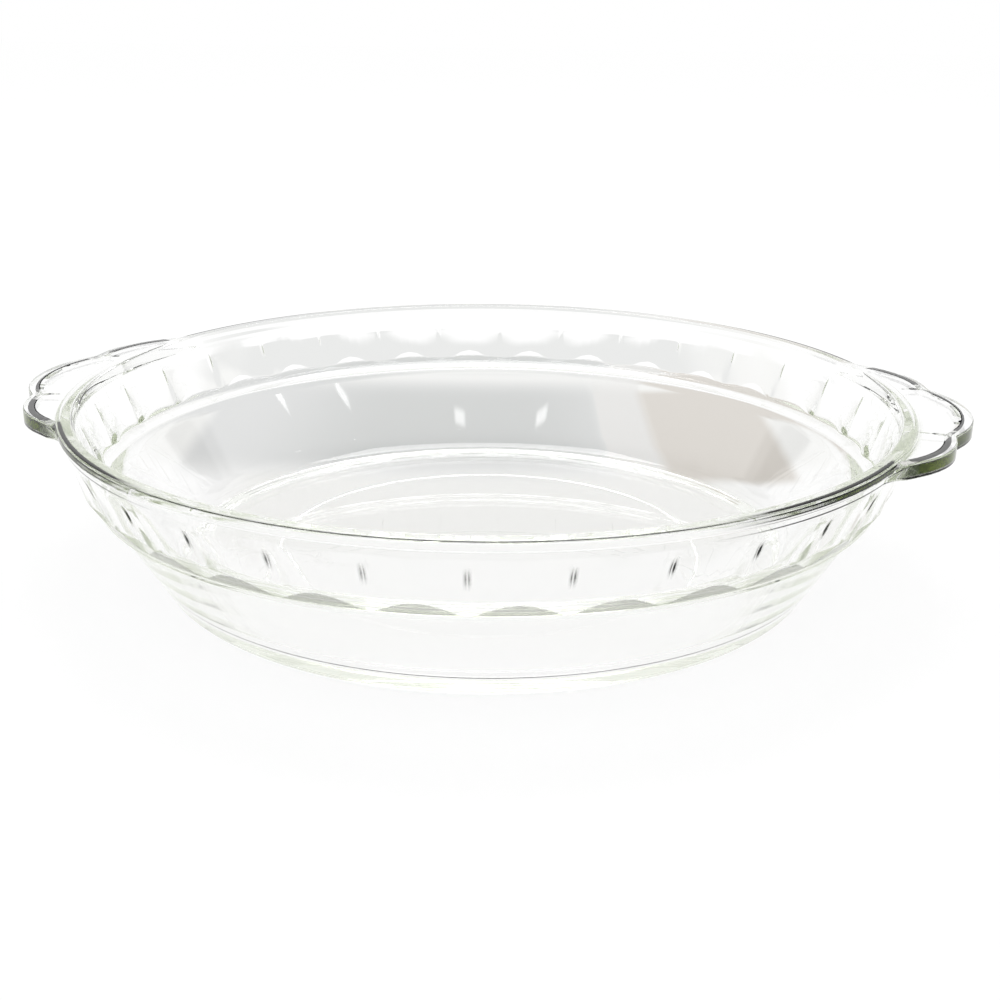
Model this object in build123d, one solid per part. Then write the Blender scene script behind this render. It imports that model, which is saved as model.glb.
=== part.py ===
# Clear pressed glass pie dish, millimetres, standing on the plane z = 0 with +Z up.
# The axis of the bowl is the Z axis and the two handles lie on the X axis.
# The dish is one pressing: bowl, rim and handles are a single solid of glass.
import math
import os

from build123d import *

# Overall sizes
rim_diameter = 240.0
dish_height = 50.4
handle_reach = 15.7

# Bottom and lower wall, with the walls' lean in degrees from upright
outer_wall_lean = 30.45
inner_wall_lean = 31.64
floor_thickness = 4.6
heel_rounding = 5.5
floor_rounding = 12.0
foot_recess_setback = 31.7
foot_recess_depth = 0.5

# Ledge round the outside, where the fluted wall starts, set back from the rim
upper_wall_height = 20.7
ledge_setback = 7.4
ledge_band_height = 1.6
ledge_band_lean = 0.6
ledge_overhang = 3.0
ledge_undercut_drop = 1.0

# Rounded shoulder round the inside, a little higher than the ledge
shoulder_setback = 14.0
shoulder_rise = 3.3
shoulder_rounding = 10.0

# Flutes: deepest at the foot of the upper wall, with a plain wall left over their tips
flute_count = 32
crest_reach = 1.8
crease_depth = 2.0
inner_crease_depth = 2.2
lobe_underside_height = 4.0
plain_wall_height = 3.9
inner_plain_wall_height = 4.0
upper_wall_thickness = 4.3

# Rim
rim_band_height = 3.0
rim_band_step = 0.7
rim_rounding = 1.2
rim_inner_flare = 1.0

# Handles: a broad lobe between two cusps, a side lobe out to each neck, then a hollow to the rim
handle_thickness = 4.2
handle_drop = 0.7
handle_cusp_spacing = 47.3
handle_cusp_setback = 8.1
handle_cusp_rounding = 0.8
handle_side_bulge = 3.0
handle_neck_width = 93.6
handle_neck_reach = 5.0
handle_root_width = 129.8
handle_root_depth = 1.6
handle_edge_rounding = 1.0

# Worked out from the sizes above
rim_radius = rim_diameter / 2
ledge_radius = rim_radius - ledge_setback
ledge_top = dish_height - upper_wall_height
ledge_bottom = ledge_top - ledge_band_height
wall_top = dish_height - rim_band_height
wall_top_radius = rim_radius - rim_band_step
flute_top = wall_top - plain_wall_height
inner_flute_top = wall_top - inner_plain_wall_height
flute_half_angle = math.pi / flute_count


def crest_radius(height):
    """Radius of the lobes' crests on the outside, which follow one straight cone up to the rim."""
    rise = (height - ledge_top) / (wall_top - ledge_top)
    crest_foot_radius = ledge_radius + crest_reach
    return crest_foot_radius + rise * (wall_top_radius - crest_foot_radius)


def inner_crest_radius(height):
    """Radius of the lobes on the inside, one wall thickness within the outer crests."""
    return crest_radius(height) - upper_wall_thickness


def revolved(outline):
    """Solid of revolution about Z from a closed outline drawn in the XZ plane."""
    face = make_face(outline)
    return revolve(face, Axis.Z)


def round_edge(body, radius, height):
    """The round edge of a body that lies nearest a radius and a height."""
    edges = body.edges().filter_by(GeomType.CIRCLE)
    return edges.sort_by(lambda e: abs(e.radius - radius) + abs(e.center().Z - height))[0]


def on_circle(radius, y):
    """Point of a circle round the Z axis at a given y, on the +X side."""
    return Vector(math.sqrt(radius**2 - y**2), y)


def fluted_section(height, crest, crease):
    """Closed horizontal section of equal arcs, one for each lobe, that meet at the creases."""
    arcs = []
    for lobe in range(flute_count):
        middle = 2 * flute_half_angle * lobe
        places = [
            (crease, middle - flute_half_angle),
            (crest, middle),
            (crease, middle + flute_half_angle),
        ]
        start, top, end = [(r * math.cos(a), r * math.sin(a), height) for r, a in places]
        arcs.append(ThreePointArc(start, top, end))
    return make_face(Wire(arcs))


def fluted_band(bottom, top, bottom_crest, top_crest, depth):
    """Solid band of flutes, scalloped to a depth at the bottom and a plain circle at the top."""
    sections = [
        fluted_section(bottom, bottom_crest, bottom_crest - depth),
        fluted_section(top, top_crest, top_crest),
    ]
    return loft(sections, ruled=True)


def lower_outside():
    """Foot, heel and lower wall, solid right through, up to the top of the ledge."""
    wall_end = ledge_bottom - ledge_undercut_drop
    wall_end_radius = ledge_radius - ledge_overhang
    base_radius = wall_end_radius - wall_end * math.tan(math.radians(outer_wall_lean))
    lower = revolved(
        Polyline(
            (0, 0, 0),
            (base_radius, 0, 0),
            (wall_end_radius, 0, wall_end),
            (ledge_radius - ledge_band_lean, 0, ledge_bottom),
            (ledge_radius, 0, ledge_top),
            (0, 0, ledge_top),
            close=True,
        )
    )
    lower = fillet(round_edge(lower, base_radius, 0), heel_rounding)
    recess_radius = base_radius - foot_recess_setback
    recess = Pos(0, 0, foot_recess_depth / 2) * Cylinder(recess_radius, foot_recess_depth)
    return lower - recess


def fluted_outside():
    """Fluted wall, with each lobe cut back below by one cone that runs in to the ledge."""
    flutes = fluted_band(
        ledge_top, flute_top, crest_radius(ledge_top), crest_radius(flute_top), crease_depth
    )
    underside_top = ledge_top + lobe_underside_height
    underside = revolved(
        Polyline(
            (0, 0, ledge_top),
            (ledge_radius, 0, ledge_top),
            (crest_radius(underside_top), 0, underside_top),
            (rim_radius, 0, underside_top),
            (rim_radius, 0, dish_height),
            (0, 0, dish_height),
            close=True,
        )
    )
    return flutes & underside


def rim_outside():
    """Plain wall over the flutes and the rim band with its rounded top, solid right through."""
    upper = revolved(
        Polyline(
            (0, 0, flute_top),
            (crest_radius(flute_top), 0, flute_top),
            (wall_top_radius, 0, wall_top),
            (rim_radius, 0, wall_top + rim_band_step),
            (rim_radius, 0, dish_height),
            (0, 0, dish_height),
            close=True,
        )
    )
    return fillet(round_edge(upper, rim_radius, dish_height), rim_rounding)


def funnel():
    """Inside of the floor, lower wall and rounded shoulder, open outwards over the shoulder."""
    shoulder_radius = rim_radius - shoulder_setback
    shoulder_height = ledge_top + shoulder_rise
    wall_rise = shoulder_height - floor_thickness
    floor_radius = shoulder_radius - wall_rise * math.tan(math.radians(inner_wall_lean))
    space = revolved(
        Polyline(
            (0, 0, floor_thickness),
            (floor_radius, 0, floor_thickness),
            (shoulder_radius, 0, shoulder_height),
            (rim_radius, 0, shoulder_height),
            (rim_radius, 0, dish_height),
            (0, 0, dish_height),
            close=True,
        )
    )
    space = fillet(round_edge(space, floor_radius, floor_thickness), floor_rounding)
    return fillet(round_edge(space, shoulder_radius, shoulder_height), shoulder_rounding)


def fluted_inside():
    """Inside of the fluted wall and the rim, wide open below the ledge's top."""
    below = Pos(0, 0, ledge_top / 2) * Cylinder(rim_radius, ledge_top)
    flutes = fluted_band(
        ledge_top,
        inner_flute_top,
        inner_crest_radius(ledge_top),
        inner_crest_radius(inner_flute_top),
        inner_crease_depth,
    )
    mouth_radius = inner_crest_radius(wall_top) + rim_inner_flare
    above = dish_height + rim_rounding
    mouth = revolved(
        Polyline(
            (0, 0, inner_flute_top),
            (inner_crest_radius(inner_flute_top), 0, inner_flute_top),
            (inner_crest_radius(wall_top), 0, wall_top),
            (mouth_radius, 0, dish_height),
            (rim_radius, 0, dish_height),
            (rim_radius, 0, above),
            (0, 0, above),
            close=True,
        )
    )
    mouth = fillet(round_edge(mouth, mouth_radius, dish_height), rim_rounding)
    return below + flutes + mouth


def handle():
    """Handle on the +X side: a flat tab whose edge has one broad lobe between two side lobes."""
    tip = Vector(rim_radius + handle_reach, 0)
    cusp = Vector(tip.X - handle_cusp_setback, handle_cusp_spacing / 2)
    neck = on_circle(rim_radius + handle_neck_reach, handle_neck_width / 2)
    root = on_circle(rim_radius - handle_root_depth, handle_root_width / 2)

    # Each side lobe stands out from its chord, and each hollow carries on from it into the rim
    chord = neck - cusp
    outward = chord.rotate(Axis.Z, -90).normalized()
    side_lobe = ThreePointArc(cusp, (cusp + neck) / 2 + outward * handle_side_bulge, neck)
    hollow = TangentArc(neck, root, tangent=side_lobe % 1)

    half = [side_lobe, hollow]
    mirrored = [edge.mirror(Plane.XZ) for edge in half]
    broad_lobe = ThreePointArc(mirrored[0] @ 0, tip, cusp)
    back = Line(root, mirrored[1] @ 1)
    handle_bottom = dish_height - handle_drop - handle_thickness
    face = make_face(Wire([broad_lobe, back] + half + mirrored))
    tab = extrude(face.moved(Location((0, 0, handle_bottom))), handle_thickness)
    cusp_edges = tab.edges().filter_by(Axis.Z).sort_by(Axis.X)[-2:]
    tab = fillet(cusp_edges, handle_cusp_rounding)
    return fillet(tab.edges().filter_by(GeomType.CIRCLE), handle_edge_rounding)


def pie_dish():
    """The whole dish."""
    tab = handle()
    top = rim_outside().fuse(tab, tab.rotate(Axis.Z, 180))
    outside = lower_outside() + fluted_outside() + top
    return outside - (funnel() & fluted_inside())


os.makedirs("parts", exist_ok=True)
dish = pie_dish()
export_step(dish, "parts/pie_dish.step")
print("pie_dish", dish.bounding_box(), "volume", round(dish.volume / 1000, 1), "cm3")
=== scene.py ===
"""Clear pressed glass pie dish on a white sweep, laid out as an add-on.

The dish is one pressing. Its mould profile is drawn once with rounded corners, and Geometry Nodes
turn it round the bowl's axis, press the flutes into both faces of the wall and pull out the handles.
"""
import math

import bpy
from bpy.props import FloatProperty, IntProperty, PointerProperty, StringProperty
from mathutils import Matrix, Vector


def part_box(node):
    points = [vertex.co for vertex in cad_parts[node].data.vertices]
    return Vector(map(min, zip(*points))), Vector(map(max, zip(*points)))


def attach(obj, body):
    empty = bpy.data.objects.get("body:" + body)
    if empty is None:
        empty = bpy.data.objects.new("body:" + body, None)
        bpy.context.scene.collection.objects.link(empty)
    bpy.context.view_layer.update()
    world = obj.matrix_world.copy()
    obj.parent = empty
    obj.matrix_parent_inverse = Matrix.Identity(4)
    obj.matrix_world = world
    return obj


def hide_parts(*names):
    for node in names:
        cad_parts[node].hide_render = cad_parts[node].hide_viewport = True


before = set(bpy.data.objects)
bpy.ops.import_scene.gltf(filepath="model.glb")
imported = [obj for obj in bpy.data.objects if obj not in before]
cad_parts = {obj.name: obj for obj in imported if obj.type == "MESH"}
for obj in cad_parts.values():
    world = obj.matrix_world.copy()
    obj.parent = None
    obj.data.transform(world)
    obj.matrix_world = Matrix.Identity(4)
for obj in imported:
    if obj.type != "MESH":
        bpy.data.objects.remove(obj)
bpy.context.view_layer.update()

bl_info = {
    "name": "Pressed glass pie dish",
    "version": (1, 0, 0),
    "blender": (4, 5, 0),
    "location": "3D View > Sidebar > Pie dish",
    "description": "Presses a fluted glass pie dish and sets the white sweep that it stands on",
    "category": "Object",
}

_, DISH_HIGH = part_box("pie_dish")
MM = 0.001

# Rounding of a corner that has none of its own, and how near two places count as the same
SMALL_ROUNDING = 0.4 * MM
TOUCH = 0.01 * MM

# Rows of points up a flute
FLUTE_ROWS = 12

# Points of the ring between a crease (0) and the middle of a flute (1), closest at the crease,
# and degrees from a handle's cusp to the points on both sides of it
RING_SHARES = [0.018, 0.036, 0.056, 0.1, 0.22, 0.45, 0.72]
CUSP_OFFSETS = [-0.8, -0.5, -0.25, -0.1, 0.0, 0.1, 0.25, 0.5, 0.8]
CUSP_CLEARANCE = 0.9

# Values that Geometry Nodes read from the profile's points and from the ring's points
PROFILE_MOVES = ["to_facet_end", "to_crease", "to_handle"]
PROFILE_VALUES = ["outward", "groove_share", "softness", "nick", "facet", "lip", "top_line"]
PROFILE_VALUES += ["rim_line", "rim_olive", "foot_line", "tab_line", "tab_olive"]
RING_VALUES = ["reach", "tab", "groove", "nick_at", "nick_side", "lip_at", "near"]

# Painted shade: marks on the mesh that darken the glass's colour where light guided inside it comes
# out, standing in for that light: dark lines, olive bands and the facets' grey. Each is a sum of values
# of the profile times values of the ring
PAINTED_SHADE_MARKS = {
    "steep_side": {
        "nick": "nick_side",
        "lip": "lip_at",
        "top_line": "near",
        "rim_line": "near",
        "tab_line": "tab",
        "foot_line": 1.0,
    },
    "guided": {"rim_olive": "near", "tab_olive": "tab"},
    "facet": {"facet": 1.0},
}

# How dark each painted shade line is at its middle. Over 1 the middle is fully dark and the border crisp
LIP_DARK = 1.2
TOP_DARK = 2.5
RIM_DARK = 3
TAB_DARK = 2.0
FLOOR_LINE_DARK = 1.3
HEEL_DARK = 0.3
NICK_DARK_IN_FRONT = 0.95
NICK_DARK_AT_HANDLES = 1.6

# Where the painted lines lie: on the rim's rounded corner in degrees up from level, on its side face in
# millimetres below its top, and on the heel in millimetres over the table. The facets' painted grey stops
# short of their lower and upper edges
LIP_MIDDLE, LIP_REACH = 46, 16
TOP_START, TOP_FULL = 52, 64
RIM_LINES, RIM_LINE_REACH = (0.8, 1.8, 2.6, 4.4), 0.25
RIM_OLIVE = (0.9, 1.7)
HEEL_LINE = (0.4, 0.8)
FACET_MARGINS = (0.05 * MM, 0.17 * MM)
FLOOR_LINE_REACH = 0.25 * MM

# Round the dish, in degrees off the line through the handles: where the rim's painted side lines start
# and where they are full, and the same for the nicks' darker painted shade. The lip's painted line loses
# a share there
SIDE_LINES_START, SIDE_LINES_FULL = 58, 40
NICK_DARK_START, NICK_DARK_FULL = 80, 45
LIP_LOSS_AT_HANDLES = 0.8

# Painted shade on the paper, round and behind the dish, that only the glass shows: pale tones from the
# foot backwards, then the greys of the back wall, the last one warm. Each has a colour, a strength, then
# the middle, half size and soft border of its box across the view and away from the camera, in metres
PAPER_PAINTED_SHADE = [
    ("#fdfdfc", 1.0, (0.000, 0.085, 0.012, -0.035, 0.035, 0.012)),
    ("#eeeeeb", 1.0, (0.000, 0.085, 0.012, 0.030, 0.036, 0.012)),
    ("#f2f2f0", 1.0, (0.000, 0.132, 0.015, 0.165, 0.095, 0.015)),
    ("#dfe0df", 1.0, (-0.015, 0.115, 0.020, 0.237, 0.034, 0.010)),
    ("#d5d6d6", 1.0, (-0.0345, 0.0775, 0.004, 0.127, 0.058, 0.020)),
    ("#c2c4c3", 1.0, (-0.015, 0.055, 0.030, 0.127, 0.055, 0.020)),
    ("#dedddb", 1.0, (0.053, 0.010, 0.001, 0.127, 0.058, 0.020)),
    ("#cfc9c1", 1.0, (0.086, 0.024, 0.003, 0.117, 0.059, 0.006)),
]

# Things in the room that only the glass shows: two dark ones behind the handles, then four small
# bright ones for the glints on the inner wall. The boxes are in degrees round from straight behind
# the dish, and in degrees up
ROOM_PATCHES = [
    ("#14180c", 1.0, (-51, 10, 2, 22, 8, 1.0)),
    ("#14180c", 1.0, (51, 10, 2, 22, 8, 1.0)),
    ("#ffffff", 8.0, (166.5, 2.2, 0.8, 46.6, 0.3, 0.2)),
    ("#ffffff", 8.0, (-156.0, 2.2, 0.8, 46.0, 0.3, 0.2)),
    ("#ffffff", 8.0, (91, 2.0, 0.8, 35.4, 0.35, 0.2)),
    ("#ffffff", 8.0, (116.5, 2.0, 0.8, 41.6, 0.3, 0.2)),
]


def number(name, default, description, **kind):
    """A property that holds a number, with its limits, subtype or unit."""
    return FloatProperty(name=name, description=description, default=default, **kind)


def length(name, millimetres, description):
    """A property that holds one length, given here in millimetres."""
    kind = {"min": 0.0, "precision": 5, "subtype": "DISTANCE", "unit": "LENGTH"}
    return number(name, millimetres * MM, description, **kind)


def angle_setting(name, degrees, description):
    """A property that holds one angle, given here in degrees."""
    return number(name, math.radians(degrees), description, subtype="ANGLE", unit="ROTATION")


def share_setting(name, default, description):
    """A property that holds a share, from none (0) to all (1)."""
    return number(name, default, description, min=0.0, max=1.0, subtype="FACTOR")


def colour_setting(name, default, description):
    """A property that holds an sRGB hex colour."""
    return StringProperty(name=name, description=f"{description}, sRGB hex", default=default)


# Sizes and settings


class BowlSizes(bpy.types.PropertyGroup):
    """Sizes of the bowl, from the foot up to the rim."""

    rim_radius: length("Rim radius", DISH_HIGH.y / MM, "Outside of the rim band")
    height: length("Height", DISH_HIGH.z / MM, "From the table to the top of the rim")
    base_radius: length("Base radius", 93.67, "Corner of base and wall, before the heel is rounded")
    recess_radius: length("Recess radius", 61.97, "Shallow recess under the foot")
    recess_depth: length("Recess depth", 0.5, "How far the recess is sunk")
    heel_rounding: length("Heel rounding", 5.5, "Round from the base to the lower wall")
    floor_radius: length("Floor radius", 88.5, "Corner of floor and inner wall, before rounding")
    floor_thickness: length("Floor thickness", 4.6, "Glass under the bowl")
    floor_rounding: length("Floor rounding", 12.0, "Round from the floor to the inner wall")
    wall_end_radius: length("Lower wall end radius", 109.6, "Where the lower wall meets the ledge")
    wall_end_height: length("Lower wall end height", 27.1, "Where the lower wall meets the ledge")
    floor_line: length("Floor line", 7.3, "Where the floor's edge shows as a line in the lower wall")
    ledge_radius: length("Ledge radius", 112.6, "Upper edge of the ledge's narrow band")
    ledge_lean: length("Ledge lean", 0.6, "How far the band's lower edge is set in")
    ledge_bottom: length("Ledge bottom", 28.1, "Lower edge of the ledge's band")
    ledge_top: length("Ledge top", 29.7, "Upper edge of the ledge's band")
    shoulder_radius: length("Shoulder radius", 106.0, "Corner of the inner shoulder, before rounding")
    shoulder_height: length("Shoulder height", 33.0, "Corner of the inner shoulder, before rounding")
    shoulder_rounding: length("Shoulder rounding", 10.0, "Round from the inner wall to the shoulder")
    band_height: length("Rim band height", 3.0, "Plain band under the top of the rim")
    band_step: length("Rim band step", 0.7, "How far the band stands out from the wall")
    rim_rounding: length("Rim rounding", 1.2, "Both top corners of the rim")
    rim_flare: length("Rim flare", 1.0, "How far the inside opens over the band's height")


class FluteSizes(bpy.types.PropertyGroup):
    """Sizes of the flutes, which are alike all round."""

    count: IntProperty(name="Flutes", description="Flutes round the wall", default=32, min=8, max=64)
    crest_radius: length("Crest radius", 114.4, "Middle of a flute, carried down to the ledge's top")
    crease_depth: length("Outer crease depth", 1.9, "Depth between two flutes at the ledge's top")
    facet_height: length("Facet height", 4.0, "Cut under each flute, above the ledge")
    plain_height: length("Plain wall", 3.9, "Plain wall between the flutes and the rim band")
    soft_height: length("Soft height", 7.5, "Height over the ledge at which the creases are sharp")
    inner_depth: length("Inner crease depth", 2.2, "Height of the ridges inside at the ledge's top")
    inner_plain_height: length("Inner plain wall", 4.0, "Plain wall inside, over the flutes")
    wall_thickness: length("Wall thickness", 4.3, "Glass between the two faces of a flute")
    nick_bottom: length("Nick bottom", 37.4, "Lower end of the sharp nick at the tip of each crease")
    nick_top: length("Nick top", 43.2, "Upper end of that nick")
    nick_depth: length("Nick depth", 0.35, "How far the nick is sunk into the crease")
    nick_width: length("Nick width", 0.75, "Half width of the nick")
    fade: number("Fade", 0.8, "Run-out of the creases: 1 straight, less keeps them deep", min=0.3, max=3)

    # Roundings as shares of half a flute's width
    crease_softness: share_setting("Crease softness", 0.12, "The outer creases' upper half")
    foot_softness: share_setting("Foot softness", 0.3, "The outer creases at the ledge")
    ridge_softness: share_setting("Ridge softness", 0.32, "The ridges inside")


class HandleSizes(bpy.types.PropertyGroup):
    """Sizes of the two tab handles."""

    tip_radius: length("Tip", DISH_HIGH.x / MM, "From the bowl's axis to the tip of the broad lobe")
    cusp_setback: length("Cusp setback", 8.1, "From the tip back to the line through both cusps")
    cusp_spacing: length("Cusp spacing", 47.3, "Between the two cusps")
    cusp_rounding: length("Cusp rounding", 0.8, "Softening of the outline at a cusp")
    side_bulge: length("Side bulge", 3.0, "How far a side lobe stands out from its chord")
    neck_width: length("Neck width", 93.6, "Between the outer ends of the side lobes")
    neck_reach: length("Neck reach", 5.0, "How far the side lobes' ends stand out from the rim")
    root_width: length("Root width", 129.8, "Between the ends of the hollows, inside the rim")
    root_depth: length("Root depth", 1.6, "How far inside the rim's face the hollows end")
    thickness: length("Thickness", 4.2, "Glass of the tab")
    drop: length("Drop", 0.7, "From the top of the rim down to the tab's border")
    edge_rounding: length("Edge rounding", 0.5, "Upper edge of the tab")
    under_rounding: length("Under rounding", 0.25, "Lower edge of the tab")
    border_width: length("Border width", 2.6, "Raised border along the tab's edge")
    border_step: length("Border step", 0.04, "How far the border stands over the tab's top")
    groove_depth: length("Groove depth", 0.25, "Line pressed into the top, inward from each cusp")
    groove_width: length("Groove width", 0.9, "Half width of that line")


class GlassLook(bpy.types.PropertyGroup):
    """Colours of soda-lime glass, and of the painted shade that stands in for light guided inside it."""

    tint: colour_setting("Tint", "#b9c98c", "Colour that thick glass turns")
    # The next three colours are painted shade, laid into the glass's base and specular colour where it is
    # met from outside
    steep_shade_paint: colour_setting("Dark lines", "#000000", "Light left where a steep edge turns it away")
    guided_light_paint: colour_setting("Guided light", "#151f01", "Light left where it ran round inside")
    facet_shade_paint: colour_setting("Facets", "#9a9b96", "Light left where a facet sends it down the wall")
    tint_density: number("Tint density", 1.6, "Absorption of each metre of glass", min=0.0)
    ior: number("IOR", 1.5, "Index of refraction of the glass", min=1.0, max=2.0)
    roughness: share_setting("Roughness", 0.0, "Fire-polished skin")


class StageSettings(bpy.types.PropertyGroup):
    """Camera, sweep and light."""

    camera_azimuth: angle_setting("Camera azimuth", -82.3, "Direction of the camera, from +X")
    camera_distance: length("Camera distance", 395.6, "From the bowl's axis, along the table")
    camera_height: length("Camera height", 158.68, "Over the table")
    camera_down: angle_setting("Look down", 19.77, "How far below level the camera looks")
    camera_aside: angle_setting("Look aside", 0.54, "How far to the right of the bowl's axis it looks")
    camera_roll: angle_setting("Roll", -0.56, "Turn of the camera about its own axis")
    lens: number("Lens", 50.94, "Focal length", min=1.0, unit="CAMERA")
    paper: colour_setting("Sweep", "#ffffff", "Colour of the sweep")
    paper_glow: share_setting("Paper glow", 0.85, "Share of its white that shadows don't dim")
    paper_size: length("Sweep size", 8000, "Side of the square sweep")
    paper_drop: length("Sweep drop", 0.1, "Gap under the dish, so that the two don't coincide")
    lamp_power: number("Lamp power", 6.0, "Soft lamp overhead, in watts", min=0.0)
    lamp_width: length("Lamp width", 900, "Across the view")
    lamp_depth: length("Lamp depth", 500, "The lamp's other side")
    lamp_height: length("Lamp height", 1300, "Over the table")
    lamp_back: length("Lamp setback", 500, "From over the dish, away from the camera")
    light_bounces: IntProperty(
        name="Light bounces", description="Turns of light that are followed", default=96, min=8, max=256
    )


SETTINGS = {
    "bowl": BowlSizes,
    "flutes": FluteSizes,
    "handles": HandleSizes,
    "glass": GlassLook,
    "stage": StageSettings,
}


# Helpers


def linear(colour):
    """An sRGB hex colour as linear RGBA."""
    channels = [int(colour[i : i + 2], 16) / 255 for i in (1, 3, 5)]
    return [c / 12.92 if c <= 0.04045 else ((c + 0.055) / 1.055) ** 2.4 for c in channels] + [1.0]


def add(tree, kind, inputs=None, **settings):
    """Adds one node with its settings. Each input is a value, or an output socket to link."""
    node = tree.nodes.new(kind)
    for name, value in settings.items():
        setattr(node, name, value)
    for name, value in (inputs or {}).items():
        if isinstance(value, bpy.types.NodeSocket):
            tree.links.new(value, node.inputs[name])
        else:
            node.inputs[name].default_value = value
    return node


def rounded(corners):
    """Points along a chain of corners, each (place, rounding, steps round it, steps onwards).

    A straight of three steps or more keeps a point close to both ends, so that it shades flat.
    """
    places = [Vector(corner[0]) for corner in corners]
    points = [places[0]]
    for i in range(1, len(corners)):
        here = places[i]
        _, rounding, turns, _ = corners[i]
        arc = [here]
        if turns and i < len(corners) - 1:
            before = here - places[i - 1]
            after = places[i + 1] - here
            turn = math.atan2(before.x * after.y - before.y * after.x, before.dot(after))
            half = math.tan(abs(turn) / 2)
            reach = min(rounding * half, 0.48 * before.length, 0.48 * after.length)
            start = here - before.normalized() * reach
            left = Vector((-before.y, before.x)).normalized()
            centre = start + left * math.copysign(reach / half, turn)
            spoke = start - centre
            arc = []
            for k in range(turns + 1):
                c, s = math.cos(turn * k / turns), math.sin(turn * k / turns)
                arc.append(centre + Vector((c * spoke.x - s * spoke.y, s * spoke.x + c * spoke.y)))
        runs = corners[i - 1][3]
        last = points[-1]
        shares = [k / runs for k in range(1, runs)]
        if runs > 2:
            close = min(0.15 * MM / (arc[0] - last).length, 0.2)
            shares[0], shares[-1] = close, 1 - close
        points += [last.lerp(arc[0], share) for share in shares] + arc
    return points


def ramp(value, start, full):
    """0 up to the start and 1 from full on, straight between them."""
    return min(max((value - start) / (full - start), 0.0), 1.0)


def peak(value, middle, reach):
    """1 at the middle, down to 0 at the reach to both sides."""
    return max(0.0, 1 - abs(value - middle) / reach)


def upright(points):
    """Flat points as places in the upright plane of the mould profile."""
    return [(p.x, 0.0, p.y) for p in points]


def spread(path, count):
    """The same path as evenly spaced points."""
    marks = [0.0]
    for a, b in zip(path, path[1:]):
        marks.append(marks[-1] + (b - a).length)
    points = []
    at = 0
    for k in range(count):
        mark = marks[-1] * k / (count - 1)
        while at < len(path) - 2 and marks[at + 1] < mark:
            at += 1
        share = (mark - marks[at]) / (marks[at + 1] - marks[at])
        points.append(path[at].lerp(path[at + 1], min(share, 1.0)))
    return points


def new_mesh(name, places, attributes):
    """An object of loose vertices that carry named values for Geometry Nodes."""
    mesh = bpy.data.meshes.new(name)
    mesh.from_pydata(places, [], [])
    for key, values in attributes.items():
        is_vector = not isinstance(values[0], float)
        layer = mesh.attributes.new(key, "FLOAT_VECTOR" if is_vector else "FLOAT", "POINT")
        flat = [c for v in values for c in v] if is_vector else values
        layer.data.foreach_set("vector" if is_vector else "value", flat)
    return bpy.data.objects.new(name, mesh)


# The dish


def crest_line(bowl, flutes, height):
    """Outside radius of the flutes' crests, one straight cone up to the rim band."""
    top = bowl.height - bowl.band_height
    share = (height - bowl.ledge_top) / (top - bowl.ledge_top)
    return flutes.crest_radius + share * (bowl.rim_radius - bowl.band_step - flutes.crest_radius)


def flute_run(bowl, flutes, bottom, top, depth, inward):
    """Corners up one flute line, sunk by a depth that fades out towards the flute's tip."""
    corners = []
    for k in range(FLUTE_ROWS + 1):
        height = bottom + (top - bottom) * k / FLUTE_ROWS
        left = (top - height) / (top - bowl.ledge_top)
        sunk = depth * min(left, 1.0) ** flutes.fade
        corners.append(((crest_line(bowl, flutes, height) - inward - sunk, height), 0, 0, 1))
    return corners


def facet_share(bowl, flutes):
    """How far from crest (0) to crease (1) the facet under a flute runs out at the ledge."""
    return (flutes.crest_radius - bowl.ledge_radius) / flutes.crease_depth


def outer_corners(bowl, flutes, handles):
    """Corners of the outside, from the foot to the handle: on a crest, at a facet's end, on a crease."""
    flute_top = bowl.height - bowl.band_height - flutes.plain_height
    below_handle = 0.5 * MM
    start = bowl.height - handles.drop - handles.thickness - below_handle
    end = (crest_line(bowl, flutes, start), start)
    recess_lean = 0.3 * MM
    base = Vector((bowl.base_radius, 0))
    wall_end = Vector((bowl.wall_end_radius, bowl.wall_end_height))
    floor_line = [bowl.floor_line + side * FLOOR_LINE_REACH for side in (-1, 0, 1)]
    on_wall = [base.lerp(wall_end, height / wall_end.y) for height in floor_line]
    foot = [
        ((0, bowl.recess_depth), 0, 0, 3),
        ((bowl.recess_radius - recess_lean, bowl.recess_depth), SMALL_ROUNDING, 2, 1),
        ((bowl.recess_radius + recess_lean, 0), SMALL_ROUNDING, 2, 3),
        (base, bowl.heel_rounding, 10, 3),
        (on_wall[0], 0, 0, 1),
        (on_wall[1], 0, 0, 1),
        (on_wall[2], 0, 0, 3),
        (wall_end, 1.0 * MM, 4, 3),
        ((bowl.ledge_radius - bowl.ledge_lean, bowl.ledge_bottom), 0.5 * MM, 4, 3),
    ]
    ledge = [((bowl.ledge_radius, bowl.ledge_top), SMALL_ROUNDING, 4, 3)]
    lines = [
        (bowl.ledge_top + flutes.facet_height, 0.0, 1.2 * MM),
        (bowl.ledge_top + 0.2 * MM, facet_share(bowl, flutes) * flutes.crease_depth, 0.1 * MM),
        (bowl.ledge_top + 0.2 * MM, flutes.crease_depth, 0.1 * MM),
    ]
    outlines = []
    for bottom, depth, rounding in lines:
        run = flute_run(bowl, flutes, bottom, flute_top, depth, 0.0)
        run[0] = (run[0][0], rounding, 4, 1)
        outlines.append(foot + ledge + run + [(end, 0, 0, 0)])
    return outlines


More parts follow.
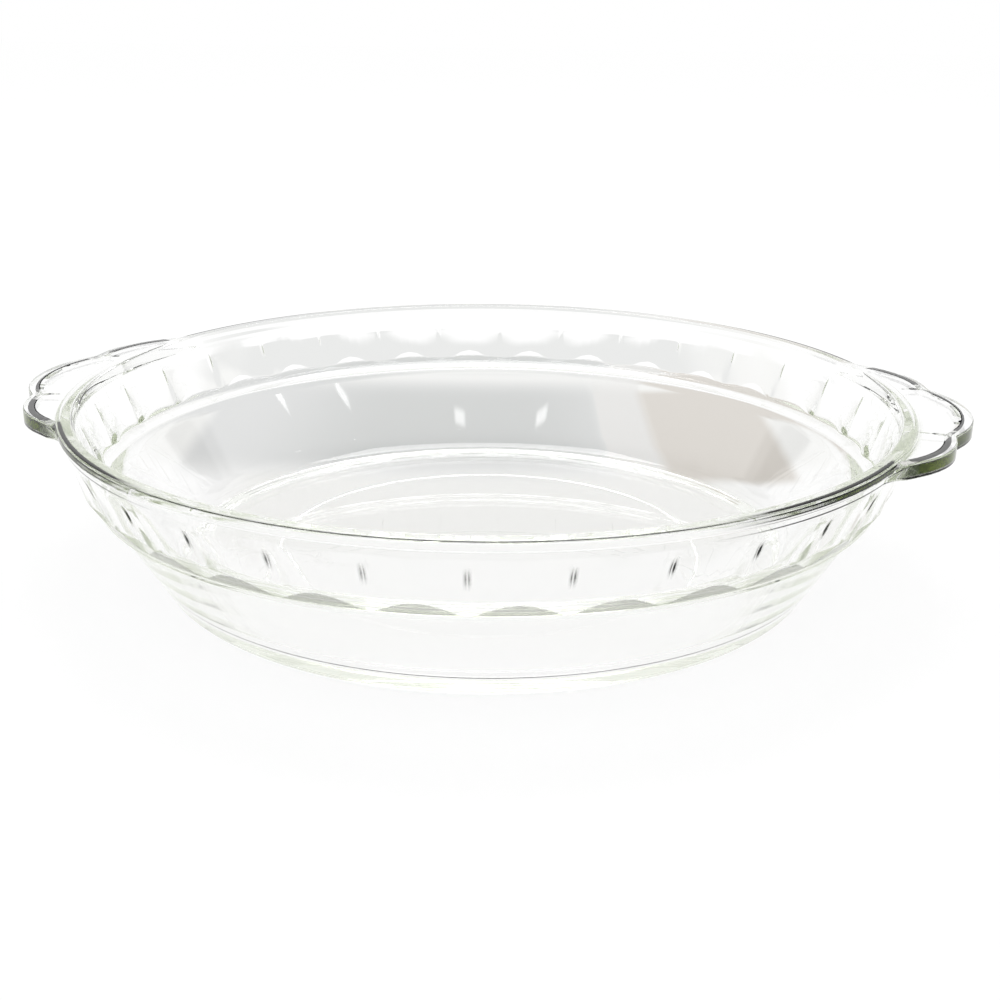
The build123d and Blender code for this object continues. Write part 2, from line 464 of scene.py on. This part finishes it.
def inner_corners(bowl, flutes, on_crease):
    """Corners of the inside, from the top of the rim to the middle of the floor."""
    thickness = flutes.wall_thickness
    band_foot = bowl.height - bowl.band_height
    mouth = crest_line(bowl, flutes, band_foot) - thickness
    flute_top = band_foot - flutes.inner_plain_height
    depth = flutes.inner_depth if on_crease else 0.0

    # The shoulder is an arc that starts where a flute meets it, found in a few rounds, and ends on
    # the lower wall
    wall = Vector((bowl.shoulder_radius - bowl.floor_radius, bowl.shoulder_height - bowl.floor_thickness))
    lean = math.atan2(wall.y, wall.x)
    reach = bowl.shoulder_rounding * math.tan(lean / 2)
    centre = (bowl.shoulder_radius + reach, bowl.shoulder_height - bowl.shoulder_rounding)
    height = bowl.shoulder_height
    rounds = 6
    for _ in range(rounds):
        foot = flute_run(bowl, flutes, height, flute_top, depth, thickness)
        start = math.asin((centre[0] - foot[0][0][0]) / bowl.shoulder_rounding)
        height = centre[1] + bowl.shoulder_rounding * math.cos(start)
    shoulder = []
    steps = 9
    for k in range(steps + 1):
        angle = start + (lean - start) * k / steps
        out = centre[0] - bowl.shoulder_rounding * math.sin(angle)
        up = centre[1] + bowl.shoulder_rounding * math.cos(angle)
        shoulder.append(((out, up), 1.0 * MM, 4 if k == 0 else 0, 1))
    shoulder[-1] = shoulder[-1][:3] + (3,)
    middle = (bowl.rim_radius + mouth) / 2
    return [
        ((middle, bowl.height), 0, 0, 1),
        ((mouth + bowl.rim_flare, bowl.height), bowl.rim_rounding, 6, 3),
        ((mouth, band_foot), 3.0 * MM, 3, 2),
        *foot[:0:-1],
        *shoulder,
        ((bowl.floor_radius, bowl.floor_thickness), bowl.floor_rounding, 11, 3),
        ((0, bowl.floor_thickness), 0, 0, 0),
    ]


def tab_section(bowl, handles, start, end):
    """Section of a handle, drawn with its edge on the rim's face, and values at each of its points.

    They are how far out it goes and its shares of the cusps' grooves, of the painted dark lines and of
    the painted olive band on the side face.
    """
    rim = bowl.rim_radius
    bottom = bowl.height - handles.drop - handles.thickness
    top = bowl.height - handles.drop
    edge, under_edge = handles.edge_rounding, handles.under_rounding
    sunk = top - handles.border_step
    under_runs = 6
    corners = [
        (start, 0, 0, 1),
        ((start.x + 0.15 * MM, bottom), 0.5 * MM, 2, under_runs),
        ((rim - under_edge - 0.4 * MM, bottom), 0, 0, 0),
    ]
    under = rounded(corners)
    out_under = [0.0] * 4 + [k / under_runs for k in range(1, under_runs + 1)]
    border = rim - handles.border_width
    step_end = border - 0.5 * MM
    corners = [
        ((rim - under_edge - 0.1 * MM, bottom), 0, 0, 1),
        ((rim, bottom), under_edge, 5, 8),
        ((rim, top), edge, 5, 1),
        ((border, top), SMALL_ROUNDING, 2, 1),
        ((step_end, sunk), SMALL_ROUNDING, 2, 1),
        ((step_end - 0.3 * MM, sunk), 0, 0, 0),
    ]
    around = rounded(corners)

    # Inside the border the top runs level to the rim, where it turns up in a small hollow
    across = [Vector((rim + 0.5 * MM, sunk))] * 5 + [Vector((rim + 0.1 * MM, sunk + 0.1 * MM)), end]
    out_across = [0.8, 0.6, 0.4, 0.2, 0.0, 0.0, 0.0]
    section = under + around + across
    outward = out_under + [1.0] * len(around) + out_across
    on_top = len(under) + len(around) - 4
    groove = [0.0] * on_top + [1.0] * 4 + [0.9, 0.7, 0.5, 0.3, 0.1, 0.0, 0.0]

    # The side face lies between the two roundings, with a painted dark line at both of its ends
    low, high = bottom + under_edge - TOUCH, top - edge + TOUCH
    face = [k for k, p in enumerate(section) if p.x > rim - TOUCH and low < p.y < high]
    dark = [TAB_DARK if k in (face[0], face[-1]) else 0.0 for k in range(len(section))]
    olive = [1.0 if k in face[1:-1] else 0.0 for k in range(len(section))]
    return section, {"outward": outward, "groove_share": groove, "tab_line": dark, "tab_olive": olive}


def flute_marks(bowl, flutes, crest, crease, before, count):
    """Share of the nick and of the facet's painted grey at each point of the profile."""
    nick = [math.sin(math.pi * ramp(p.y, flutes.nick_bottom, flutes.nick_top)) for p in crease[:before]]
    low = bowl.ledge_top + FACET_MARGINS[0]
    high = bowl.ledge_top + flutes.facet_height - FACET_MARGINS[1]
    facet = [1.0 if low < p.y < high else 0.0 for p in crest[:before]]
    rest = [0.0] * (count - before)
    return {"nick": nick + rest, "facet": facet + rest}


def line_marks(bowl, places, before):
    """Painted dark lines and the painted olive band at each point of the profile: on the rim, and near
    the foot.
    """
    names = ("lip", "top_line", "rim_line", "rim_olive", "foot_line")
    lip, top_line, rim_line, rim_olive, foot_line = lines = [[0.0] * len(places) for _ in names]
    centre = Vector((bowl.rim_radius - bowl.rim_rounding, bowl.height - bowl.rim_rounding))
    corner_start, side_end, side_depth = 20, 25, 1.0 * MM
    for k, place in enumerate(places):
        spoke = place - centre
        up = math.degrees(math.atan2(spoke.y, spoke.x))
        down = (bowl.height - place.y) / MM
        if spoke.x > 0 and up > corner_start:
            lip[k] = LIP_DARK * peak(up, LIP_MIDDLE, LIP_REACH)
        if spoke.x > -TOUCH and up > corner_start:
            top_line[k] = TOP_DARK * ramp(up, TOP_START, TOP_FULL)
        if spoke.x > -side_depth and up < side_end and k > before:
            rim_line[k] = RIM_DARK * max(peak(down, at, RIM_LINE_REACH) for at in RIM_LINES)
            rim_olive[k] = 1.0 if RIM_OLIVE[0] < down < RIM_OLIVE[1] else 0.0
        if k < before:
            foot_line[k] = FLOOR_LINE_DARK * peak(place.y, bowl.floor_line, FLOOR_LINE_REACH)
            if HEEL_LINE[0] * MM < place.y < HEEL_LINE[1] * MM:
                foot_line[k] = HEEL_DARK
    return dict(zip(names, lines))


def profile_points(bowl, flutes, handles):
    """Vertices of the mould profile, with the moves that make a crease and a handle of it."""
    crest, facet_end, crease = [rounded(c) for c in outer_corners(bowl, flutes, handles)]
    start = crest[-1]
    band_foot = bowl.height - bowl.band_height
    face = bowl.rim_radius
    inside_crest = inner_corners(bowl, flutes, False)
    inside_crease = inner_corners(bowl, flutes, True)
    corners = [
        (start, 0, 0, 2),
        ((face - bowl.band_step, band_foot), SMALL_ROUNDING, 3, 1),
        ((face, band_foot + bowl.band_step), SMALL_ROUNDING, 3, 2),
        ((face, bowl.height), bowl.rim_rounding, 12, 2),
        (inside_crest[0][0], 0, 0, 0),
    ]
    band = rounded(corners)
    meets = next(i for i, p in enumerate(band) if p.y > bowl.height - handles.drop)
    section, on_tab = tab_section(bowl, handles, start, band[meets])
    rim_side = spread(band[: meets + 1], len(section))
    shared = rim_side[1:] + band[meets + 1 :]
    inner_crest = rounded(inside_crest)[1:]
    inner_crease = rounded(inside_crease)[1:]
    share = facet_share(bowl, flutes)
    inner_middle = [a.lerp(b, share) for a, b in zip(inner_crest, inner_crease)]

    on_crest = crest + shared + inner_crest
    on_facet_end = facet_end + shared + inner_middle
    on_crease = crease + shared + inner_crease
    count = len(on_crest)
    before, after = len(crest) - 1, count - len(crest) + 1 - len(section)
    softness_at = [flutes.ridge_softness] * count
    for k in range(before):
        rise = ramp(facet_end[k].y - bowl.ledge_top, 0.0, flutes.soft_height or MM)
        softness_at[k] = flutes.foot_softness + rise * (flutes.crease_softness - flutes.foot_softness)
    still = [Vector((0, 0))]
    tab_shift = still * before + [b - a for a, b in zip(rim_side, section)] + still * after
    return upright(on_crest), {
        "to_facet_end": upright([b - a for a, b in zip(on_crest, on_facet_end)]),
        "to_crease": upright([b - a for a, b in zip(on_facet_end, on_crease)]),
        "to_handle": upright(tab_shift),
        "softness": softness_at,
        **{name: [0.0] * before + values + [0.0] * after for name, values in on_tab.items()},
        **flute_marks(bowl, flutes, crest, crease, before, count),
        **line_marks(bowl, on_crest, before),
    }


def circle_through(a, b, bulge):
    """Centre and radius of the arc from a to b that stands out from its chord, to the right."""
    chord = b - a
    radius = (chord.length_squared / 4 + bulge * bulge) / (2 * bulge)
    right = Vector((chord.y, -chord.x)).normalized()
    return (a + b) / 2 + right * (bulge - radius), radius


def on_circle(radius, y):
    """Point of a circle round the bowl's axis, at a given y on the +X side."""
    return Vector((math.sqrt(radius * radius - y * y), y))


def handle_outline(bowl, handles):
    """Function that gives the handle's outline radius in a direction from the bowl's axis."""
    cusp = Vector((handles.tip_radius - handles.cusp_setback, handles.cusp_spacing / 2))
    neck = on_circle(bowl.rim_radius + handles.neck_reach, handles.neck_width / 2)
    root = on_circle(bowl.rim_radius - handles.root_depth, handles.root_width / 2)
    broad = circle_through(Vector((cusp.x, -cusp.y)), cusp, handles.cusp_setback)
    side = circle_through(cusp, neck, handles.side_bulge)

    # The hollow leaves the neck in line with the side lobe, so its centre is on the same spoke
    spoke = (neck - side[0]).normalized()
    gap = root - neck
    hollow_radius = gap.length_squared / (2 * gap.dot(spoke))
    hollow = (neck + spoke * hollow_radius, abs(hollow_radius))

    def along(circle, direction, far):
        centre, radius = circle
        middle = centre.dot(direction)
        half = math.sqrt(max(radius**2 - centre.length_squared + middle**2, 0.0))
        return middle + half if far else middle - half

    neck_angle = math.atan2(neck.y, neck.x)
    root_angle = math.atan2(root.y, root.x)

    def radius_at(angle):
        direction = Vector((abs(math.cos(angle)), abs(math.sin(angle))))
        folded = math.atan2(direction.y, direction.x)
        if folded > root_angle:
            return root.length
        if folded > neck_angle:
            return along(hollow, direction, False)
        lobes = along(broad, direction, True), along(side, direction, True)
        apart = math.hypot(lobes[0] - lobes[1], handles.cusp_rounding / 2)
        return (lobes[0] + lobes[1] + apart) / 2

    return radius_at, math.atan2(cusp.y, cusp.x)


def ring_points(bowl, flutes, handles):
    """Vertices of a unit ring, closest at the creases and cusps, with the handle's reach at each."""
    outline, cusp_angle = handle_outline(bowl, handles)
    half = math.pi / flutes.count
    angles = []
    for crease in range(flutes.count):
        middle = (2 * crease + 1) * half
        angles += [middle + side * share * half for side in (-1, 1) for share in RING_SHARES]
        angles += [middle, middle + half]
    cusps = [a % math.tau for a in (cusp_angle, -cusp_angle, math.pi - cusp_angle, math.pi + cusp_angle)]
    clear = math.radians(CUSP_CLEARANCE)
    angles = [a for a in angles if all(abs(a - c) > clear for c in cusps)]
    angles = sorted(angles + [c + math.radians(d) for c in cusps for d in CUSP_OFFSETS])
    angles.append(angles[0] + math.tau)

    rows = []
    soft_start, full_reach = 0.2 * MM, 3.0 * MM
    for angle in angles:
        beyond = outline(angle) - bowl.rim_radius
        reach = (beyond + math.hypot(beyond, soft_start)) / 2
        ease = min(reach / full_reach, 1.0)
        tab = ease * ease * (3 - 2 * ease)
        aside = min(abs(math.remainder(angle - c, math.tau)) for c in cusps) * handles.tip_radius
        groove = handles.groove_depth * math.exp(-((aside / handles.groove_width) ** 2))
        off = abs(math.remainder(angle - half, 2 * half)) * flutes.crest_radius / flutes.nick_width
        swing = math.pi * min(off, 1.0)
        nick = flutes.nick_depth * (1 + math.cos(swing)) / 2
        off_handle = math.degrees(math.atan2(abs(math.sin(angle)), abs(math.cos(angle))))
        darker = ramp(off_handle, NICK_DARK_START, NICK_DARK_FULL)
        nick_dark = NICK_DARK_IN_FRONT + (NICK_DARK_AT_HANDLES - NICK_DARK_IN_FRONT) * darker
        beside = ramp(off_handle, SIDE_LINES_START, SIDE_LINES_FULL)
        lip = (1 - tab) * (1 - LIP_LOSS_AT_HANDLES * beside)

        # In the order of RING_VALUES
        rows.append((reach, tab, groove, nick, nick_dark * math.sin(swing), lip, (1 - tab) * beside))
    places = [(math.cos(a), math.sin(a), 0.0) for a in angles]
    return places, dict(zip(RING_VALUES, zip(*rows)))


def sweep_tree():
    """Geometry Nodes that turn the mould profile round the ring, with flutes and handles."""
    tree = bpy.data.node_groups.new("Turn and flute a dish", "GeometryNodeTree")
    sockets = {"Profile": "Geometry", "Ring": "Object", "Flutes": "Int", "Facet end": "Float"}
    for name, kind in {**sockets, "Glass": "Material"}.items():
        tree.interface.new_socket(name, in_out="INPUT", socket_type=f"NodeSocket{kind}")
    tree.interface.new_socket("Dish", in_out="OUTPUT", socket_type="NodeSocketGeometry")
    given = add(tree, "NodeGroupInput").outputs

    # A grid with the ring's points one way and the profile's points the other
    profile = given["Profile"]
    ring = add(tree, "GeometryNodeObjectInfo", {"Object": given["Ring"]}).outputs["Geometry"]
    around, along = [
        add(tree, "GeometryNodeAttributeDomainSize", {"Geometry": points}).outputs["Point Count"]
        for points in (ring, profile)
    ]
    grid = add(tree, "GeometryNodeMeshGrid", {"Vertices X": around, "Vertices Y": along})
    index = add(tree, "GeometryNodeInputIndex").outputs["Index"]
    column = add(tree, "FunctionNodeIntegerMath", {0: index, 1: along}, operation="DIVIDE_FLOOR")
    row = add(tree, "FunctionNodeIntegerMath", {0: index, 1: along}, operation="MODULO")

    # What each grid point reads from the profile and from the ring
    read = {}
    wanted = [
        ("profile", profile, row, "position", "FLOAT_VECTOR"),
        ("spoke", ring, column, "position", "FLOAT_VECTOR"),
    ]
    wanted += [(name, profile, row, name, "FLOAT_VECTOR") for name in PROFILE_MOVES]
    wanted += [(name, profile, row, name, "FLOAT") for name in PROFILE_VALUES]
    wanted += [(name, ring, column, name, "FLOAT") for name in RING_VALUES]
    for name, source, place, attribute, kind in wanted:
        value = add(tree, "GeometryNodeInputNamedAttribute", {"Name": attribute}, data_type=kind)
        inputs = {"Geometry": source, "Value": value.outputs["Attribute"], "Index": place.outputs[0]}
        sample = add(tree, "GeometryNodeSampleIndex", inputs, data_type=kind, domain="POINT")
        read[name] = sample.outputs["Value"]

    # Where a point lies between a flute's crest (0) and its crease (1), with the flute's arc eased by
    # the softness near the crease, and how far nick, handle and groove move it out and down. Each step
    # has the name of its value, what it does, and what with
    spoke = add(tree, "ShaderNodeSeparateXYZ", {"Vector": read["spoke"]}).outputs
    known = {**read, "x": spoke["X"], "y": spoke["Y"], "flutes": given["Flutes"]}
    steps = [
        ("angle", "ARCTAN2", "y", "x"),
        ("turns", "DIVIDE", "angle", math.tau),
        ("lobes", "MULTIPLY", "turns", "flutes"),
        ("nearest crest", "ROUND", "lobes"),
        ("aside", "SUBTRACT", "lobes", "nearest crest"),
        ("aside", "ABSOLUTE", "aside"),
        ("from crease", "MULTIPLY_ADD", "aside", -2.0, 1.0),
        ("soft square", "MULTIPLY", "softness", "softness"),
        ("eased", "MULTIPLY_ADD", "from crease", "from crease", "soft square"),
        ("eased", "SQRT", "eased"),
        ("eased", "SUBTRACT", "eased", "softness"),
        ("full", "ADD", "soft square", 1.0),
        ("full", "SQRT", "full"),
        ("full", "SUBTRACT", "full", "softness"),
        ("eased", "DIVIDE", "eased", "full"),
        ("rest", "SUBTRACT", 1.0, "eased"),
        ("rest", "MAXIMUM", "rest", 0.0),
        ("sag", "POWER", "rest", 2.0),
        ("in", "MULTIPLY", "nick", "nick_at"),
        ("out", "MULTIPLY", "reach", "outward"),
        ("out", "SUBTRACT", "out", "in"),
        ("down", "MULTIPLY", "groove", "groove_share"),
        ("down", "MULTIPLY", "down", "tab"),
        ("up", "MULTIPLY", "down", -1.0),
    ]
    for name, operation, *parts in steps:
        inputs = {slot: known.get(part, part) for slot, part in enumerate(parts)}
        known[name] = add(tree, "ShaderNodeMath", inputs, operation=operation).outputs[0]
    sag = known["sag"]
    to_end = add(tree, "ShaderNodeMapRange", {"Value": sag, "From Max": given["Facet end"]})
    to_crease = add(tree, "ShaderNodeMapRange", {"Value": sag, "From Min": given["Facet end"]})

    # The section at this angle: the crest, moved to the crease, to the handle, and out and down
    section = read["profile"]
    out_and_down = add(tree, "ShaderNodeCombineXYZ", {"X": known["out"], "Z": known["up"]})
    moves = [
        (read["to_facet_end"], to_end.outputs["Result"]),
        (read["to_crease"], to_crease.outputs["Result"]),
        (read["to_handle"], read["tab"]),
        (out_and_down.outputs["Vector"], 1.0),
    ]
    for move, share in moves:
        step = add(tree, "ShaderNodeVectorMath", {0: move, "Scale": share}, operation="SCALE")
        inputs = {0: section, 1: step.outputs["Vector"]}
        section = add(tree, "ShaderNodeVectorMath", inputs, operation="ADD").outputs["Vector"]
    section = add(tree, "ShaderNodeSeparateXYZ", {"Vector": section}).outputs
    flat = add(tree, "ShaderNodeVectorMath", {0: read["spoke"], "Scale": section["X"]}, operation="SCALE")
    height = add(tree, "ShaderNodeCombineXYZ", {"Z": section["Z"]})
    inputs = {0: flat.outputs["Vector"], 1: height.outputs["Vector"]}
    place = add(tree, "ShaderNodeVectorMath", inputs, operation="ADD").outputs["Vector"]

    # Painted shade marks for the glass, then the places, and closed at the seam and at both poles
    dish = grid.outputs["Mesh"]
    for mark, pairs in PAINTED_SHADE_MARKS.items():
        total = 0.0
        for on_profile, on_ring in pairs.items():
            inputs = {0: read[on_profile], 1: read.get(on_ring, on_ring), 2: total}
            total = add(tree, "ShaderNodeMath", inputs, operation="MULTIPLY_ADD").outputs[0]
        inputs = {"Geometry": dish, "Name": mark, "Value": total}
        store = add(tree, "GeometryNodeStoreNamedAttribute", inputs, data_type="FLOAT", domain="POINT")
        dish = store.outputs["Geometry"]
    finish = [
        ("GeometryNodeSetPosition", {"Position": place}),
        ("GeometryNodeMergeByDistance", {"Distance": 0.001 * MM}),
        ("GeometryNodeSetShadeSmooth", {}),
        ("GeometryNodeRealizeInstances", {}),
        ("GeometryNodeSetMaterial", {"Material": given["Glass"]}),
    ]
    for kind, inputs in finish:
        dish = add(tree, kind, {"Geometry": dish, **inputs}).outputs["Geometry"]
    add(tree, "NodeGroupOutput", {"Dish": dish})
    return tree


def pressed_glass(look):
    """Soda-lime glass, pressed and fire-polished.

    The eye gets a clear glass without a trace of haze, with mirror-like glints, a faint olive where
    light runs a long way in it, and thin dark lines and olive bands at steep edges. The lines, bands and
    the facets' grey are painted shade: marks on the mesh that darken the base and specular colour only
    where the glass is met from outside.
    """
    material = bpy.data.materials.new("Pressed soda-lime glass")
    material.use_nodes = True
    tree = material.node_tree
    tree.nodes.clear()
    inside = add(tree, "ShaderNodeNewGeometry").outputs["Backfacing"]
    outside = add(tree, "ShaderNodeMath", {0: 1.0, 1: inside}, operation="SUBTRACT").outputs[0]
    # Painted shade: white darkened by the marks' dark lines, olive bands and facets' grey, on the outside
    # only
    skin = linear("#ffffff")
    painted_shades = {"facet": look.facet_shade_paint, "guided": look.guided_light_paint, "steep_side": look.steep_shade_paint}
    for name, tint in painted_shades.items():
        mark = add(tree, "ShaderNodeAttribute", attribute_name=name).outputs["Fac"]
        mark = add(tree, "ShaderNodeMath", {0: mark, 1: outside}, operation="MULTIPLY").outputs[0]
        inputs = {"Factor": mark, 6: skin, 7: linear(tint)}
        skin = add(tree, "ShaderNodeMix", inputs, data_type="RGBA").outputs[2]
    inputs = {
        "Base Color": skin,
        "Specular Tint": skin,
        "Roughness": look.roughness,
        "IOR": look.ior,
        "Transmission Weight": 1.0,
    }
    surface = add(tree, "ShaderNodeBsdfPrincipled", inputs).outputs["BSDF"]
    inputs = {"Color": linear(look.tint), "Density": look.tint_density}
    depth = add(tree, "ShaderNodeVolumeAbsorption", inputs).outputs["Volume"]
    add(tree, "ShaderNodeOutputMaterial", {"Surface": surface, "Volume": depth})
    return material


class PIEDISH_OT_press(bpy.types.Operator):
    """Press the dish: bowl, flutes, rim and both handles in one piece of glass"""

    bl_idname = "pie_dish.press"
    bl_label = "Press the dish"

    def execute(self, context):
        settings = context.scene.pie_dish
        bowl, flutes, handles = settings.bowl, settings.flutes, settings.handles
        profile = new_mesh("mould_profile", *profile_points(bowl, flutes, handles))
        ring = new_mesh("mould_ring", *ring_points(bowl, flutes, handles))
        for helper in (profile, ring):
            context.collection.objects.link(helper)
        tree = sweep_tree()
        modifier = profile.modifiers.new("Press", "NODES")
        modifier.node_group = tree
        values = {
            "Ring": ring,
            "Flutes": flutes.count,
            "Facet end": facet_share(bowl, flutes),
            "Glass": pressed_glass(settings.glass),
        }
        for item in tree.interface.items_tree:
            if item.in_out == "INPUT" and item.name in values:
                modifier[item.identifier] = values[item.name]
        depsgraph = context.evaluated_depsgraph_get()
        mesh = bpy.data.meshes.new_from_object(profile.evaluated_get(depsgraph), depsgraph=depsgraph)
        mesh.name = "glass_pie_dish"
        dish = bpy.data.objects.new("glass_pie_dish", mesh)
        context.collection.objects.link(dish)
        for helper in (profile, ring):
            bpy.data.objects.remove(helper)
        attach(dish, "root")
        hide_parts("pie_dish")
        return {"FINISHED"}


# The stage


def view_axes(tree, place, facing):
    """How far a place or direction is to the right in the view, and how far away."""
    side = Vector((facing.y, -facing.x, 0))
    return [
        add(tree, "ShaderNodeVectorMath", {0: place, 1: axis}, operation="DOT_PRODUCT").outputs["Value"]
        for axis in (side, facing)
    ]


def soft_box(tree, across, up, box):
    """1 inside a box of two coordinates and 0 outside, with a soft border."""
    sides = []
    for value, (middle, half, soft) in ((across, box[:3]), (up, box[3:])):
        away = add(tree, "ShaderNodeMath", {0: value, 1: middle}, operation="SUBTRACT").outputs[0]
        away = add(tree, "ShaderNodeMath", {0: away}, operation="ABSOLUTE").outputs[0]
        inputs = {"Value": away, "From Min": half + soft, "From Max": half - soft}
        side = add(tree, "ShaderNodeMapRange", inputs, interpolation_type="SMOOTHSTEP")
        sides.append(side.outputs["Result"])
    return add(tree, "ShaderNodeMath", {0: sides[0], 1: sides[1]}, operation="MULTIPLY").outputs[0]


def layered(tree, across, up, base, patches):
    """A base colour with soft patches laid over it, each a colour, a strength and a box."""
    colour = base
    for shade, strength, box in patches:
        paint = [c * strength for c in linear(shade)[:3]] + [1.0]
        inputs = {"Factor": soft_box(tree, across, up, box), 6: colour, 7: paint}
        colour = add(tree, "ShaderNodeMix", inputs, data_type="RGBA").outputs[2]
    return colour


def sweep_paper(stage, facing):
    """Matt white paper, uncoated: no gloss, and evenly white with the dish's faint shadow kept.

    The camera and glossy and transmitted rays see part of its white as a glow, so that the glass
    shows it too. Only the glass shows the painted shade laid over that white.
    """
    material = bpy.data.materials.new("Matt white paper")
    material.use_nodes = True
    tree = material.node_tree
    tree.nodes.clear()
    path = add(tree, "ShaderNodeLightPath").outputs
    place = add(tree, "ShaderNodeTexCoord").outputs["Object"]
    across, away = view_axes(tree, place, facing)
    white = linear(stage.paper)
    # Painted shade on the paper, seen only by rays that are not camera rays
    behind = layered(tree, across, away, white, PAPER_PAINTED_SHADE)
    inputs = {"Factor": path["Is Camera Ray"], 6: behind, 7: white}
    seen = add(tree, "ShaderNodeMix", inputs, data_type="RGBA").outputs[2]
    share = path["Is Camera Ray"]
    for ray in ("Is Glossy Ray", "Is Transmission Ray"):
        share = add(tree, "ShaderNodeMath", {0: share, 1: path[ray]}, operation="MAXIMUM").outputs[0]
    share = add(tree, "ShaderNodeMath", {0: share, 1: stage.paper_glow}, operation="MULTIPLY").outputs[0]
    matt = add(tree, "ShaderNodeBsdfDiffuse", {"Color": white}).outputs["BSDF"]
    glow = add(tree, "ShaderNodeEmission", {"Color": seen, "Strength": 1.0}).outputs["Emission"]
    both = add(tree, "ShaderNodeMixShader", {0: share, 1: matt, 2: glow})
    add(tree, "ShaderNodeOutputMaterial", {"Surface": both.outputs["Shader"]})
    return material


def room_light(stage, facing):
    """White room with a few dark and bright things in it that only the glass shows."""
    world = bpy.data.worlds.new("White room")
    world.use_nodes = True
    tree = world.node_tree
    tree.nodes.clear()
    path = add(tree, "ShaderNodeLightPath").outputs
    direction = add(tree, "ShaderNodeTexCoord").outputs["Generated"]
    right, away = view_axes(tree, direction, facing)
    azimuth = add(tree, "ShaderNodeMath", {0: right, 1: away}, operation="ARCTAN2")
    rise = add(tree, "ShaderNodeSeparateXYZ", {"Vector": direction}).outputs["Z"]
    elevation = add(tree, "ShaderNodeMath", {0: rise}, operation="ARCSINE")
    white = linear(stage.paper)
    patches = [(shade, strength, [math.radians(v) for v in box]) for shade, strength, box in ROOM_PATCHES]
    room = layered(tree, azimuth.outputs[0], elevation.outputs[0], white, patches)
    lit = add(tree, "ShaderNodeBackground", {"Color": room, "Strength": 1.0}).outputs[0]
    plain = add(tree, "ShaderNodeBackground", {"Color": white, "Strength": 1.0}).outputs[0]
    both = add(tree, "ShaderNodeMixShader", {0: path["Is Camera Ray"], 1: lit, 2: plain})
    add(tree, "ShaderNodeOutputWorld", {"Surface": both.outputs["Shader"]})
    return world


def camera_frame(stage):
    """Place and turn of the camera, and the level direction in which it faces."""
    azimuth = stage.camera_azimuth
    place = Vector((math.cos(azimuth), math.sin(azimuth), 0)) * stage.camera_distance
    place.z = stage.camera_height
    heading = azimuth + math.pi - stage.camera_aside
    level = Vector((math.cos(heading), math.sin(heading), 0))
    forward = level * math.cos(stage.camera_down) - Vector((0, 0, math.sin(stage.camera_down)))
    right = Vector((level.y, -level.x, 0))
    up = right.cross(forward)
    turn = Matrix((right, up, -forward)).transposed().to_4x4()
    roll = Matrix.Rotation(-stage.camera_roll, 4, "Z")
    return Matrix.Translation(place) @ turn @ roll, level


class PIEDISH_OT_stage(bpy.types.Operator):
    """Set the camera, the white sweep, the room and the soft lamp"""

    bl_idname = "pie_dish.stage"
    bl_label = "Set the stage"

    def execute(self, context):
        stage = context.scene.pie_dish.stage
        scene = context.scene
        frame_matrix, level = camera_frame(stage)
        camera = bpy.data.objects.new("camera", bpy.data.cameras.new("camera"))
        scene.collection.objects.link(camera)
        camera.data.lens = stage.lens
        camera.data.sensor_width = 36.0
        camera.data.clip_start = 0.01
        camera.matrix_world = frame_matrix
        scene.camera = camera

        half = stage.paper_size / 2
        around = [(-half, -half), (half, -half), (half, half), (-half, half)]
        corners = [(x, y, -stage.paper_drop) for x, y in around]
        mesh = bpy.data.meshes.new("sweep")
        mesh.from_pydata(corners, [], [(0, 1, 2, 3)])
        mesh.materials.append(sweep_paper(stage, level))
        sweep = bpy.data.objects.new("sweep", mesh)
        scene.collection.objects.link(sweep)

        lamp_data = bpy.data.lights.new("soft_lamp", "AREA")
        lamp_data.shape = "RECTANGLE"
        lamp_data.size, lamp_data.size_y = stage.lamp_width, stage.lamp_depth
        lamp_data.energy = stage.lamp_power
        lamp = bpy.data.objects.new("soft_lamp", lamp_data)
        scene.collection.objects.link(lamp)
        lamp.location = Vector((0, 0, stage.lamp_height)) + level * stage.lamp_back
        lamp.rotation_euler = (-lamp.location).to_track_quat("-Z", "Y").to_euler()

        scene.world = room_light(stage, level)
        scene.view_settings.view_transform = "Standard"

        # Light turns back many times inside the rim and the wall before it leaves the glass, and a
        # path that is cut off shows as a black line
        scene.cycles.max_bounces = stage.light_bounces
        scene.cycles.glossy_bounces = stage.light_bounces
        scene.cycles.transmission_bounces = stage.light_bounces
        return {"FINISHED"}


# Add-on


class PieDishSettings(bpy.types.PropertyGroup):
    """All settings of the pie dish."""

    bowl: PointerProperty(type=BowlSizes)
    flutes: PointerProperty(type=FluteSizes)
    handles: PointerProperty(type=HandleSizes)
    glass: PointerProperty(type=GlassLook)
    stage: PointerProperty(type=StageSettings)


class PIEDISH_PT_panel(bpy.types.Panel):
    """Sizes, settings and steps of the pie dish"""

    bl_label = "Pie dish"
    bl_idname = "PIEDISH_PT_panel"
    bl_space_type = "VIEW_3D"
    bl_region_type = "UI"
    bl_category = "Pie dish"

    def draw(self, context):
        for name, kind in SETTINGS.items():
            box = self.layout.box()
            box.label(text=name.capitalize())
            group = getattr(context.scene.pie_dish, name)
            for key in kind.__annotations__:
                box.prop(group, key)
        for operator in (PIEDISH_OT_press, PIEDISH_OT_stage):
            self.layout.operator(operator.bl_idname)


CLASSES = (*SETTINGS.values(), PieDishSettings, PIEDISH_OT_press, PIEDISH_OT_stage, PIEDISH_PT_panel)


def register():
    """Registers the classes and hangs the settings on the scene."""
    for item in CLASSES:
        bpy.utils.register_class(item)
    bpy.types.Scene.pie_dish = PointerProperty(type=PieDishSettings)


def unregister():
    """Takes back what register did."""
    del bpy.types.Scene.pie_dish
    for item in reversed(CLASSES):
        bpy.utils.unregister_class(item)


def main():
    register()
    bpy.ops.pie_dish.press()
    bpy.ops.pie_dish.stage()


if __name__ == "__main__":
    main()
